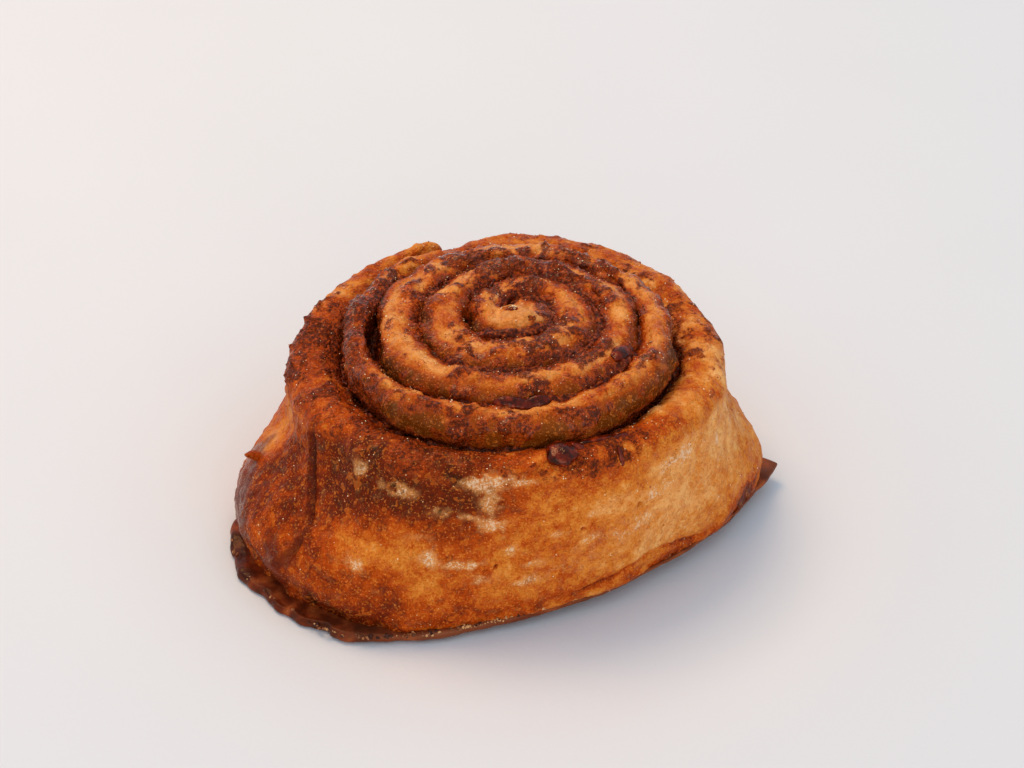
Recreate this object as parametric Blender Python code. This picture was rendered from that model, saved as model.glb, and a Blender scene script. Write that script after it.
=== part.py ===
"""A cinnamon roll: a strip of dough wound round a ribbon of cinnamon filling, on a thin foot of set caramel.

Lengths are millimetres until a mesh is made. Angles are degrees from +X, anticlockwise seen from above. The
winding angle runs on along the strip, turn after turn, from its tail on the outside to the eye in the middle.
The shape is worked out about the heart, the middle of the spiral, and then set in the part's frame, whose
origin is the middle of the roll's box on the surface that it rests on. The long front of the wall faces -Y.
"""

import bmesh
import bpy
import numpy as np

MM = 0.001
TURN = 360.0

# Where the heart of the spiral stands over the middle of the part's box.
HEART_X = 1.41
HEART_Y = 2.65

# The wound strip: its outer face's radius at the crest, by winding angle. The first turn is the roll's wall.
TAIL_ANGLE = 112.0
STRIP_END = 1952.0
STRIP_RADII = [
    (112, 41.4), (135, 42.0), (160, 42.9), (185, 44.6), (205, 44.0), (225, 42.8), (250, 41.2), (270, 40.2),
    (315, 40.8), (350, 42.4), (385, 41.2), (430, 41.8), (450, 41.0), (472, 37.0), (500, 33.6), (540, 32.8),
    (585, 32.5), (630, 31.7), (675, 31.7), (720, 31.3), (765, 29.6), (810, 27.1), (855, 26.3), (900, 26.9),
    (945, 26.3), (990, 24.7), (1035, 24.7), (1080, 24.2), (1125, 22.1), (1170, 19.6), (1215, 17.7),
    (1260, 17.3), (1305, 17.3), (1350, 16.5), (1395, 16.5), (1440, 16.2), (1485, 14.7), (1530, 12.3),
    (1575, 9.5), (1620, 7.9), (1665, 7.1), (1710, 6.9), (1755, 7.0), (1800, 7.0), (1890, 5.6), (1920, 3.9),
    (1950, 1.2), (1980, -1.6),
]
EYE_RADIUS = 0.4
SEAM_GAP = 1.8
CLEARANCE = 0.3

# The domed top: the heart stands highest, and each turn outward sits lower.
HEART_HEIGHT = 46.0
RIM_DROP = 8.5
RIM_RADIUS = 37.0
DOME_POWER = 4.2
CREST_FALL = 4.5
CREST_SQUARENESS = 0.8
HEART_DOME_RADIUS = 3.0
# Places where the crest stands proud or dips: winding angle, reach in degrees, height.
CREST_SPOTS = [
    (116, 13, 3.0), (155, 28, 1.4), (205, 22, 0.6), (440, 30, 0.5), (470, 9, -2.2), (700, 30, 0.6),
    (905, 20, -1.0), (1290, 35, -0.6),
]

# The roll's outline at its foot: radius by direction, and how far that edge has curled up off the surface.
EDGE_RADII = [
    (0, 50.4), (20, 47.5), (45, 43.5), (70, 41.8), (95, 41.8), (120, 42.8), (145, 44.8), (160, 46.8),
    (172, 49.6), (183, 53.4), (192, 56.2), (200, 57.2), (208, 57.6), (218, 56.8), (228, 55.6), (236, 54.0),
    (244, 50.8), (253, 47.4), (262, 44.2), (272, 41.9), (285, 40.1), (300, 39.6), (315, 40.2), (330, 42.6),
    (345, 46.8),
]
EDGE_LIFTS = [
    (0, 3.0), (45, 1.5), (90, 0.5), (135, 0.0), (180, 0.0), (225, 0.0), (255, 0.7), (285, 2.1), (315, 3.1),
    (345, 3.1),
]
LIFT_START_RADIUS = 26.0
SHOULDER_HEIGHT = 37.0
# Where the wall's skirt starts to stand out and where it is full, as shares of the way down, by direction.
SKIRT_STARTS = [
    (0, 0.22), (40, 0.1), (120, 0.1), (170, 0.24), (195, 0.28), (215, 0.22), (235, 0.08), (270, 0.0),
    (330, 0.1),
]
SKIRT_ENDS = [(0, 0.76), (40, 0.9), (120, 0.9), (170, 0.82), (195, 0.72), (215, 0.78), (235, 0.9), (330, 0.85)]
WALL_BULGE = 1.3
# A crease that runs down the left of the wall: its direction, half its width, its depth, and the shares of the
# way down where it starts, is full, begins to fade and ends.
CREASE_ANGLE = 219.0
CREASE_REACH = 5.0
CREASE_DEPTH = 1.5
CREASE_SPAN = (0.0, 0.2, 0.6, 0.9)
# Where the wall comes round to the tail it draws in, and past the tail's end it runs on upright inside it.
TAIL_STEP = 3.4
TAIL_STEP_START = 400.0
UPRIGHT_FROM = 530.0

# A flake of crust that stands off the left side of the wall: where its root lies, its size, and how it points.
FLAKE_ANGLE = 191.5
FLAKE_HEIGHT = 16.5
FLAKE_LENGTH = 6.2
FLAKE_ROOT_RADIUS = 2.2
FLAKE_FLATNESS = 0.6
FLAKE_ROOT_DEPTH = 2.2
FLAKE_SIDES = 8
FLAKE_RISE_ANGLE = 34.0

# The caramel foot: a thin plate that stands out past the dough on the left and has a corner on the right. Its rim
# is rounded: how far each ring lies inside the plate's outline, and how far up the plate's thickness.
FOOT_THICKNESS = 1.7
FOOT_RIM = [(0.8, 0.1), (0.0, 0.45), (0.0, 0.8), (0.6, 1.0)]
FOOT_TUCK = 0.4
FOOT_OVERHANGS = [
    (0, 0.8), (60, 0.6), (120, 0.6), (170, 0.8), (190, 1.6), (205, 2.8), (220, 2.2), (235, 2.8), (250, 1.4),
    (270, 1.0), (330, 1.0),
]
CORNER_ANGLE = 4.0
CORNER_REACH = 3.8
CORNER_SPREADS = (14.0, 5.0)

# The filling stops short of the crests on both sides of it.
FILLING_START = 484.0
FILLING_END = 1905.0
FILLING_RECESS = 3.4

# Sections of the strip, closer together on the wider turns: up to which winding angle, and how far apart.
SECTION_STEPS = [(472, 6.0), (832, 7.5), (1192, 9.0), (1552, 12.0), (1952, 16.0)]
WALL_LEVELS = 8
CREST_POINTS = 7
INNER_LEVELS = 6
FOOT_DIRECTIONS = 72

COLOURS = {
    "dough": ((0.52, 0.20, 0.045), 0.55),
    "cinnamon_filling": ((0.09, 0.022, 0.006), 0.35),
    "caramel_foot": ((0.07, 0.02, 0.007), 0.3),
}


def smooth_through(places, knots, period=None):
    """Values at places of the smooth curve through knots, pairs of place and value, closed over a period."""
    knots = np.array(knots, float)
    if period:
        knots = np.concatenate([knots - (period, 0), knots, knots + (period, 0)])
        places = np.mod(places, period)
    x, y = knots.T
    slope = np.gradient(y, x)
    i = np.clip(np.searchsorted(x, places) - 1, 0, len(x) - 2)
    step = x[i + 1] - x[i]
    t = np.clip((places - x[i]) / step, 0, 1)
    return (
        y[i] * (1 + 2 * t) * (1 - t) ** 2
        + slope[i] * step * t * (1 - t) ** 2
        + y[i + 1] * t**2 * (3 - 2 * t)
        + slope[i + 1] * step * t**2 * (t - 1)
    )


def ease(value, start, end):
    """0 before start, 1 after end, and a smooth step between them."""
    t = np.clip((value - start) / (end - start), 0, 1)
    return t * t * (3 - 2 * t)


def bump(angle, middle, reach):
    """1 at the middle, falling off as a bell within about its reach on each side."""
    return np.exp(-(((angle - middle) / reach) ** 2))


def strip_radius(winding):
    return smooth_through(winding, STRIP_RADII)


def inner_radius(winding):
    """The strip's inner face lies a seam's gap outside the outer face of the next turn, down to the eye."""
    return np.maximum(strip_radius(winding + TURN) + SEAM_GAP, EYE_RADIUS)


def dome_height(radius):
    return HEART_HEIGHT - RIM_DROP * (np.abs(radius) / RIM_RADIUS) ** DOME_POWER


def crest_height(winding):
    """The strip's crest: the dome's height over the strip's middle, and the places where it rises or dips."""
    middle = (strip_radius(winding) + inner_radius(winding)) / 2
    spots = sum(height * bump(winding, angle, reach) for angle, reach, height in CREST_SPOTS)
    return dome_height(middle) + spots


def edge_radius(angle):
    return smooth_through(angle, EDGE_RADII, TURN)


def lift(radius, angle):
    """How far the underside has curled up: nothing inside the start radius, then straight up to the edge."""
    share = (radius - LIFT_START_RADIUS) / (edge_radius(angle) - LIFT_START_RADIUS)
    return np.maximum(smooth_through(angle, EDGE_LIFTS, TURN), 0) * np.maximum(share, 0)


def skirt_span(angle):
    return smooth_through(angle, SKIRT_STARTS, TURN), smooth_through(angle, SKIRT_ENDS, TURN)


def flare(winding, height):
    """How far the wall's face stands out past the strip's radius at a height. It fades away past the tail."""
    angle = np.mod(winding, TURN)
    depth = np.clip(1 - height / SHOULDER_HEIGHT, 0, 1)
    foot = edge_radius(angle) - TAIL_STEP * ease(winding, TAIL_STEP_START, TAIL_ANGLE + TURN)
    outward = (foot - strip_radius(winding)) * ease(depth, *skirt_span(angle))
    barrel = WALL_BULGE * np.sin(np.pi * depth)
    begins, full, fades, ends = CREASE_SPAN
    crease = CREASE_DEPTH * bump(angle, CREASE_ANGLE, CREASE_REACH)
    crease = crease * ease(depth, begins, full) * (1 - ease(depth, fades, ends))
    return (outward + barrel - crease) * (1 - ease(winding, TAIL_ANGLE + TURN, UPRIGHT_FROM))


def face_radius(winding, height):
    """The outer face of the strip at a height: the wall on the first turn, and the seam on every later one."""
    return strip_radius(winding) + flare(winding, height)


def inner_face_radius(winding, height):
    return np.maximum(face_radius(winding + TURN, height) + SEAM_GAP, EYE_RADIUS)


def underside(radius, winding):
    """The dough's underside, a clearance above the caramel foot."""
    return FOOT_THICKNESS + CLEARANCE + lift(radius, np.mod(winding, TURN))


def sections_between(start, end):
    """Winding angles from start to end, as close together as each turn of the strip needs."""
    angles = [start]
    for limit, step in SECTION_STEPS:
        stop = min(limit, end)
        if stop > angles[-1]:
            count = max(1, round((stop - angles[-1]) / step))
            angles.extend(np.linspace(angles[-1], stop, count + 1)[1:])
    return np.array(angles)


def dough_sections(winding):
    """Radius and height of each section's points: up the outer face, over the crest, down the inner face."""
    winding = winding[:, None]
    outer, inner = strip_radius(winding), inner_radius(winding)
    crest = crest_height(winding)
    inner_fall = CREST_FALL * ease(inner, EYE_RADIUS, HEART_DOME_RADIUS)

    rise = np.linspace(0, 1, WALL_LEVELS)
    foot = underside(face_radius(winding, FOOT_THICKNESS), winding)
    outer_z = foot + (crest - CREST_FALL - foot) * rise
    outer_r = face_radius(winding, outer_z)

    turn = np.linspace(0, np.pi, CREST_POINTS + 2)[1:-1]
    middle, half = (outer + inner) / 2, (outer - inner) / 2
    crest_r = middle + half * np.cos(turn)
    fall = np.where(turn < np.pi / 2, CREST_FALL, inner_fall)
    shoulder = np.where(turn < np.pi / 2, face_radius(winding, crest - CREST_FALL) - outer, 0) * np.cos(turn)
    crest_z = crest - fall * (1 - np.sin(turn) ** CREST_SQUARENESS)

    inner_foot = underside(inner_face_radius(winding, FOOT_THICKNESS), winding)
    inner_z = crest - inner_fall + (inner_foot - crest + inner_fall) * np.linspace(0, 1, INNER_LEVELS)
    inner_r = inner_face_radius(winding, inner_z)

    radii = np.concatenate([outer_r, crest_r + shoulder, inner_r], axis=1)
    heights = np.concatenate([outer_z, crest_z, inner_z], axis=1)
    return radii, heights


def filling_sections(winding):
    """Radius and height round each section of the ribbon, which fills the seam between two turns of dough."""
    winding = winding[:, None]
    top = np.minimum(crest_height(winding), crest_height(winding - TURN)) - FILLING_RECESS
    sides = []
    for offset in (SEAM_GAP - CLEARANCE, CLEARANCE):
        foot = underside(face_radius(winding, FOOT_THICKNESS) + offset, winding)
        levels = foot + (top - foot) * np.linspace(0, 1, INNER_LEVELS)
        sides.append((np.maximum(face_radius(winding, levels) + offset, offset), levels))
    (far, far_z), (near, near_z) = sides
    return np.concatenate([far, near[:, ::-1]], axis=1), np.concatenate([far_z, near_z[:, ::-1]], axis=1)


def corner_reach(angle):
    """The plate's corner on the right: a long slope up to it from the front and a short one down behind it."""
    away = np.mod(angle - CORNER_ANGLE + TURN / 2, TURN) - TURN / 2
    spread = np.where(away < 0, *CORNER_SPREADS)
    return CORNER_REACH * np.maximum(0, 1 - np.abs(away) / spread)


def plate_radius(angle):
    return edge_radius(angle) + smooth_through(angle, FOOT_OVERHANGS, TURN) + corner_reach(angle)


def placed(radii, heights, angles):
    """World positions in metres of points given about the heart."""
    turned = np.radians(angles)
    x = HEART_X + radii * np.cos(turned)
    y = HEART_Y + radii * np.sin(turned)
    return np.stack([x, y, heights], axis=-1).reshape(-1, 3) * MM


def material(name):
    colour, roughness = COLOURS[name]
    made = bpy.data.materials.new(name)
    made.use_nodes = True
    shader = made.node_tree.nodes["Principled BSDF"]
    shader.inputs["Base Color"].default_value = (*colour, 1)
    shader.inputs["Roughness"].default_value = roughness
    shader.inputs["Metallic"].default_value = 0.0
    return made


def make_object(name, points, faces, surface):
    """A smooth-shaded object of one closed mesh, its faces pointing out, in one material."""
    mesh = bpy.data.meshes.new(name)
    mesh.from_pydata(points.tolist(), [], faces)
    solid = bmesh.new()
    solid.from_mesh(mesh)
    bmesh.ops.recalc_face_normals(solid, faces=solid.faces)
    solid.to_mesh(mesh)
    solid.free()
    mesh.shade_smooth()
    mesh.set_sharp_from_angle(angle=np.radians(50))
    mesh.materials.append(surface)
    made = bpy.data.objects.new(name, mesh)
    bpy.context.scene.collection.objects.link(made)
    return made


def swept_faces(sections, points):
    """Faces of a strip of closed sections, with a cap on each end."""
    faces = []
    for i in range(sections - 1):
        for j in range(points):
            k = (j + 1) % points
            faces.append((i * points + j, i * points + k, (i + 1) * points + k, (i + 1) * points + j))
    faces.append(tuple(range(points)))
    faces.append(tuple((sections - 1) * points + j for j in range(points)))
    return faces


def make_ribbon(name, winding, section_of):
    radii, heights = section_of(winding)
    points = placed(radii, heights, winding[:, None])
    return make_object(name, points, swept_faces(*radii.shape), material(name))


def add_flake(dough):
    """A small horn of crust, rooted inside the wall and fused with it."""
    turned, rise = np.radians(FLAKE_ANGLE), np.radians(FLAKE_RISE_ANGLE)
    pointing = np.array([np.cos(turned) * np.cos(rise), np.sin(turned) * np.cos(rise), np.sin(rise)])
    across = np.array([-np.sin(turned), np.cos(turned), 0])
    upward = np.cross(pointing, across)
    wall = float(face_radius(np.array(FLAKE_ANGLE), np.array(FLAKE_HEIGHT)))
    root = placed(np.array([wall - FLAKE_ROOT_DEPTH]), np.array([FLAKE_HEIGHT]), np.array([FLAKE_ANGLE]))[0]
    around = np.linspace(0, 2 * np.pi, FLAKE_SIDES, endpoint=False)[:, None]
    outline = np.cos(around) * across + FLAKE_FLATNESS * np.sin(around) * upward
    ring = root + outline * FLAKE_ROOT_RADIUS * MM
    points = np.concatenate([ring, [root + pointing * FLAKE_LENGTH * MM]])
    faces = [(j, (j + 1) % FLAKE_SIDES, FLAKE_SIDES) for j in range(FLAKE_SIDES)]
    faces.append(tuple(range(FLAKE_SIDES)))
    flake = make_object("flake", points, faces, dough.data.materials[0])
    union = dough.modifiers.new("flake", "BOOLEAN")
    union.operation = "UNION"
    union.solver = "EXACT"
    union.object = flake
    bpy.context.view_layer.objects.active = dough
    bpy.ops.object.modifier_apply(modifier=union.name)
    bpy.data.objects.remove(flake)


def make_caramel_foot():
    """The plate, as rings from its middle to its edge and back: flat inside, and curled up with the edge."""
    angles = np.linspace(0, TURN, FOOT_DIRECTIONS, endpoint=False)
    dough_edge, edge = edge_radius(angles), plate_radius(angles)
    half_way = (LIFT_START_RADIUS + dough_edge) / 2
    start = np.full_like(angles, LIFT_START_RADIUS)
    rings = [(start, 0.0), (half_way, 0.0)]
    rings += [(edge - inset, share) for inset, share in FOOT_RIM]
    rings += [(dough_edge - FOOT_TUCK, 1.0), (half_way, 1.0), (start, 1.0)]
    radii = np.array([radius for radius, _ in rings])
    heights = np.array([lift(radius, angles) + share * FOOT_THICKNESS for radius, share in rings])
    points = placed(radii, heights, angles)
    middles = placed(np.zeros(2), np.array([0, FOOT_THICKNESS]), np.zeros(2))
    faces = []
    for j in range(FOOT_DIRECTIONS):
        k = (j + 1) % FOOT_DIRECTIONS
        for i in range(len(rings) - 1):
            low, high = i * FOOT_DIRECTIONS, (i + 1) * FOOT_DIRECTIONS
            faces.append((low + j, low + k, high + k, high + j))
        last = (len(rings) - 1) * FOOT_DIRECTIONS
        faces.append((len(points), j, k))
        faces.append((len(points) + 1, last + j, last + k))
    return make_object("caramel_foot", np.concatenate([points, middles]), faces, material("caramel_foot"))


def main():
    for old in list(bpy.data.objects):
        bpy.data.objects.remove(old)
    dough = make_ribbon("dough", sections_between(TAIL_ANGLE, STRIP_END), dough_sections)
    add_flake(dough)
    make_ribbon("cinnamon_filling", sections_between(FILLING_START, FILLING_END), filling_sections)
    make_caramel_foot()


main()
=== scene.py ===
"""A cinnamon roll on white paper, dressed round its solids: crust, wound turns, filling, caramel and crumbs.

Lengths are millimetres until a mesh is made. Shapes are worked out about the heart, the middle of the
spiral. The winding angle, in degrees, runs on along the strip of dough, turn after turn, from its tail to
the eye.
"""

import bmesh
import bpy
import numpy as np
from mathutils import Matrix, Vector


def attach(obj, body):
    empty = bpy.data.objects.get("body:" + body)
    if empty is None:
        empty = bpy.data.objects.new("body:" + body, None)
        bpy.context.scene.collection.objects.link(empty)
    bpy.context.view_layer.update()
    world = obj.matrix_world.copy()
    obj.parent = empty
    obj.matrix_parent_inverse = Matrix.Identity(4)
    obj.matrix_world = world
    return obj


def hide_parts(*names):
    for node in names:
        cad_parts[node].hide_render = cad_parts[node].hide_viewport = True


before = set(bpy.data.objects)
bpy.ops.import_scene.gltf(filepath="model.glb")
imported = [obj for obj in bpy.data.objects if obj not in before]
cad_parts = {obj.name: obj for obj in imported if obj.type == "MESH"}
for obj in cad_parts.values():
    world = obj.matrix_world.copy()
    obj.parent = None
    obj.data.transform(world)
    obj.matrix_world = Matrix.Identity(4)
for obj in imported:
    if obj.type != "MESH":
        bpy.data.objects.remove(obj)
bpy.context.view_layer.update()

# The view, the paper and the light. The roll is seen from above the long front of its wall, and stands on
# white paper. A broad window light falls from behind on the left, and the room fills the shadow with a
# cool, soft light.
MM = 0.001
HEART_X = 1.41
HEART_Y = 2.65
HEART_HEIGHT = 46.0
VIEW_ELEVATION = np.radians(36.0)
VIEW_DISTANCE = 474.07
VIEW_LENS = 85.0
HEART_ABOVE_AIM = 14.9
CONTRAST_GAMMA = 0.84
PAPER_SIZE = 6000.0
PAPER_COLOUR = (0.82, 0.79, 0.775)
PAPER_CLOUDS = (60.0, 0.97)
PAPER_FIBRE = (1.2, 0.25, 0.12)
ROOM_COLOUR = (0.705, 0.85, 1.0)
ROOM_STRENGTH = 0.88
WINDOW_PLACE = (-280.0, 280.0, 820.0)
WINDOW_SIZE = 420.0
WINDOW_POWER = 3.7
WINDOW_COLOUR = (1.0, 0.68, 0.38)
FRONT_PLACE = (160.0, -1000.0, 160.0)
FRONT_SIZE = 700.0
FRONT_POWER = 3.15
FRONT_COLOUR = (0.97, 0.94, 0.92)


def area_light(name, place, size, power, colour):
    """A square light at place, in millimetres, turned to face the roll."""
    lamp = bpy.data.lights.new(name, "AREA")
    lamp.size = size * MM
    lamp.energy = power
    lamp.color = colour
    held = bpy.data.objects.new(name, lamp)
    held.location = Vector(place) * MM
    held.rotation_euler = (-held.location).to_track_quat("-Z", "Y").to_euler()
    bpy.context.scene.collection.objects.link(held)


class Tone:
    """A shader socket that takes arithmetic: an expression on tones and numbers adds its Math nodes."""

    def __init__(self, finish, socket):
        self.finish = finish
        self.socket = socket

    def math(self, operation, first, second):
        return self.finish.node("ShaderNodeMath", {"operation": operation}, {0: first, 1: second})

    def __add__(self, other):
        return self.math("ADD", self, other)

    def __sub__(self, other):
        return self.math("SUBTRACT", self, other)

    def __mul__(self, other):
        return self.math("MULTIPLY", self, other)

    def __rsub__(self, other):
        return self.math("SUBTRACT", other, self)

    __radd__ = __add__
    __rmul__ = __mul__

    def rise(self, low, high):
        """0 below low, 1 above high, and a smooth step between them. It falls where low is above high."""
        smooth = {"interpolation_type": "SMOOTHSTEP"}
        return self.finish.node("ShaderNodeMapRange", smooth, {0: self, 1: low, 2: high})


class Finish:
    """One procedural material. Its patterns are read in millimetres from the piece's own coordinates."""

    def __init__(self, name, **constants):
        self.material = bpy.data.materials.new(name)
        self.material.use_nodes = True
        self.tree = self.material.node_tree
        self.shader = self.tree.nodes["Principled BSDF"]
        for socket, value in constants.items():
            self.shader.inputs[socket.replace("_", " ")].default_value = value
        place = self.node("ShaderNodeTexCoord", {}, {}, "Object")
        self.place = self.node("ShaderNodeVectorMath", {"operation": "SCALE"}, {0: place, "Scale": 1 / MM}, 0)

    def node(self, kind, settings, sockets, output=0):
        """Any node: its kind, its settings or ramp stops, then its sockets' values or links. One output."""
        made = self.tree.nodes.new(kind)
        for setting, value in settings.items():
            if setting == "stops":
                elements = made.color_ramp.elements
                elements.remove(elements[1])
                elements[0].position = value[0][0]
                for position, _ in value[1:]:
                    elements.new(position)
                for element, (_, colour) in zip(elements, value):
                    element.color = (*colour, 1)
            else:
                setattr(made, setting, value)
        for socket, value in sockets.items():
            if isinstance(value, Tone):
                self.tree.links.new(value.socket, made.inputs[socket])
            else:
                made.inputs[socket].default_value = value
        return Tone(self, made.outputs[output])

    def noise(self, size, detail=2.0):
        """Soft noise from 0 to 1 with features of about this size in millimetres."""
        sockets = {"Vector": self.place, "Scale": 1 / size, "Detail": detail}
        return self.node("ShaderNodeTexNoise", {}, sockets)

    def spots(self, spacing, output="Distance"):
        """Distance to the nearest random spot, in units of their spacing, or that spot's own colour."""
        return self.node("ShaderNodeTexVoronoi", {}, {"Vector": self.place, "Scale": 1 / spacing}, output)

    def mask(self, name):
        """A mask painted on the mesh's points."""
        return self.node("ShaderNodeAttribute", {"attribute_name": name}, {}, "Fac")

    def ramp(self, tone, stops):
        """Colours blended along a tone, from stops that pair a position with a screen colour."""
        linear = [(position, screen(*colour)) for position, colour in stops]
        return self.node("ShaderNodeValToRGB", {"stops": linear}, {0: tone})

    def mix(self, share, first, second):
        """Two colours mixed by a share."""
        first, second = [(*colour, 1) if isinstance(colour, tuple) else colour for colour in (first, second)]
        return self.node("ShaderNodeMix", {"data_type": "RGBA"}, {0: share, 6: first, 7: second}, 2)

    def coat(self, colour, roughness, height, strength, depth, **more):
        """Link a colour and a roughness, and a height in shares of a depth, in millimetres, as a bump."""
        sockets = {"Strength": strength, "Distance": depth * MM, "Height": height}
        bump = self.node("ShaderNodeBump", {}, sockets)
        for socket, tone in {"Base Color": colour, "Roughness": roughness, "Normal": bump, **more}.items():
            self.tree.links.new(tone.socket, self.shader.inputs[socket.replace("_", " ")])
        return self.material


def screen(red, green, blue):
    """A colour given as it shows on a screen, 0 to 255, as the linear values that a shader takes."""
    shown = np.array([red, green, blue]) / 255
    linear = np.where(shown < 0.04045, shown / 12.92, ((shown + 0.055) / 1.055) ** 2.4)
    return tuple(linear.tolist())


camera = bpy.data.objects.new("camera", bpy.data.cameras.new("camera"))
camera.data.lens = VIEW_LENS
camera.data.clip_start = 0.01
away = np.array([0, -np.cos(VIEW_ELEVATION), np.sin(VIEW_ELEVATION)])
picture_up = np.array([0, np.sin(VIEW_ELEVATION), np.cos(VIEW_ELEVATION)])
heart = np.array([HEART_X, HEART_Y, HEART_HEIGHT])
camera.location = (heart - HEART_ABOVE_AIM * picture_up + VIEW_DISTANCE * away) * MM
camera.rotation_euler = (np.pi / 2 - VIEW_ELEVATION, 0, 0)
bpy.context.scene.collection.objects.link(camera)
bpy.context.scene.camera = camera
bpy.context.scene.view_settings.view_transform = "Standard"
bpy.context.scene.view_settings.gamma = CONTRAST_GAMMA

area_light("window", WINDOW_PLACE, WINDOW_SIZE, WINDOW_POWER, WINDOW_COLOUR)
area_light("front_fill", FRONT_PLACE, FRONT_SIZE, FRONT_POWER, FRONT_COLOUR)
room = bpy.data.worlds.new("room")
room.use_nodes = True
room.node_tree.nodes["Background"].inputs["Color"].default_value = (*ROOM_COLOUR, 1)
room.node_tree.nodes["Background"].inputs["Strength"].default_value = ROOM_STRENGTH
bpy.context.scene.world = room

paper_finish = Finish("paper", Roughness=0.8)
cloud_size, cloud_shade = PAPER_CLOUDS
cloud_colour = tuple(cloud_shade * channel for channel in PAPER_COLOUR)
paper_colour = paper_finish.mix(paper_finish.noise(cloud_size), PAPER_COLOUR, cloud_colour)
fibre_size, fibre_strength, fibre_depth = PAPER_FIBRE
paper_fibre = paper_finish.noise(fibre_size, 4.0)
paper_finish.coat(paper_colour, paper_fibre.rise(-3.0, 1.0), paper_fibre, fibre_strength, fibre_depth)
paper_sheet = bpy.data.meshes.new("paper")
half = PAPER_SIZE / 2 * MM
paper_corners = [(-half, -half, 0), (half, -half, 0), (half, half, 0), (-half, half, 0)]
paper_sheet.from_pydata(paper_corners, [], [(0, 1, 2, 3)])
paper_sheet.materials.append(paper_finish.material)
paper = bpy.data.objects.new("paper", paper_sheet)
bpy.context.scene.collection.objects.link(paper)

# The wall. The strip's first turn is the roll's own side: dough that has risen against its neighbours in
# the pan, bellied out at the foot and baked to a blistered crust. It is one closed skin, carried along the
# winding angle.
TURN = 360.0
TAIL_ANGLE = 112.0
WALL_END = 500.0
STRIP_RADII = [
    (112, 41.4), (135, 42.0), (160, 42.9), (185, 44.6), (205, 44.0), (225, 42.8), (250, 41.2), (270, 40.2),
    (315, 40.8), (350, 42.4), (385, 41.2), (430, 41.8), (450, 41.0), (472, 37.0), (500, 33.6), (540, 32.8),
    (585, 32.5), (630, 31.7), (675, 31.7), (720, 31.3), (765, 29.6), (810, 27.1), (855, 26.3), (900, 26.9),
    (945, 26.3), (990, 24.7), (1035, 24.7), (1080, 24.2), (1125, 22.1), (1170, 19.6), (1215, 17.7),
    (1260, 17.3), (1305, 17.3), (1350, 16.5), (1395, 16.5), (1440, 16.2), (1485, 14.7), (1530, 12.3),
    (1575, 9.5), (1620, 7.9), (1665, 7.1), (1710, 6.9), (1755, 7.0), (1800, 7.0), (1890, 5.6), (1920, 3.9),
    (1950, 1.2), (1980, -1.6),
]
EYE_RADIUS = 0.1
EYE_CLOSING = (1860.0, 1935.0)
SEAM_GAP = 1.8
RIM_DROP = 8.5
RIM_RADIUS = 37.0
DOME_POWER = 4.2
CREST_FALL = 4.5
WALL_SQUARENESS = 0.8
COIL_SQUARENESS = 0.62
HEART_DOME_RADIUS = 3.0
CREST_SPOTS = [
    (118, 14, 3.2), (150, 26, 2.4), (205, 22, 0.6), (440, 30, 0.5), (470, 9, -2.2), (700, 30, 0.6),
    (905, 20, -1.0), (1290, 35, -0.6), (1935, 42, -4.2),
]
EDGE_RADII = [
    (0, 50.4), (20, 47.5), (45, 43.5), (70, 41.8), (95, 41.8), (120, 42.8), (145, 44.8), (160, 46.8),
    (172, 49.6), (183, 53.4), (192, 56.2), (200, 57.2), (208, 57.6), (218, 56.8), (228, 55.6), (236, 54.0),
    (244, 50.8), (253, 47.4), (262, 44.2), (272, 41.9), (285, 40.1), (300, 39.6), (315, 40.2), (330, 42.6),
    (345, 46.8),
]
EDGE_LIFTS = [
    (0, 3.0), (45, 1.5), (90, 0.5), (135, 0.0), (180, 0.0), (225, 0.0), (255, 0.7), (285, 2.1), (315, 3.1),
    (345, 3.1),
]
LIFT_START_RADIUS = 26.0
SHOULDER_HEIGHT = 37.0
SKIRT_STARTS = [
    (0, 0.22), (40, 0.1), (120, 0.1), (170, 0.24), (195, 0.28), (215, 0.22), (235, 0.08), (270, 0.0),
    (330, 0.1),
]
SKIRT_ENDS = [
    (0, 0.76), (40, 0.9), (120, 0.9), (170, 0.82), (195, 0.72), (215, 0.78), (235, 0.9), (330, 0.85),
]
WALL_BULGE = 1.3
HOLLOW_ANGLE = 219.0
HOLLOW_REACH = 5.0
HOLLOW_DEPTH = 1.5
HOLLOW_SPAN = (0.0, 0.2, 0.6, 0.9)
# The flanks are drawn in a little half-way up, and the foot on the left stands back from the plate's edge.
FLANK_DIPS = [(187, 12, 20, 7.5, 1.9), (197, 9, 12.5, 5.0, 0.9), (6, 16, 21, 8.0, 1.8)]
FOOT_INSET = (222.0, 25.0, 2.2)
TAIL_STEP = 3.4
TAIL_STEP_START = 400.0
UPRIGHT_FROM = 530.0
TAIL_ROUNDING = 5.0
TAIL_DROOP = 2.0
# The dough's underside sinks a little into the caramel that it is baked onto.
DOUGH_UNDERSIDE = 1.5
WALL_STEP = 0.46
WALL_LEVELS = 84
CREST_POINTS = 34
# The faces in a seam need fine points only near the top, where they show.
SEAM_SHARES = [0.0, 0.3, 0.6, 0.78, 0.85, 0.875, 0.9, 0.92, 0.94, 0.955, 0.97, 0.985, 1.0]
HIDDEN_BELOW = (9.0, 5.5)


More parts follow.
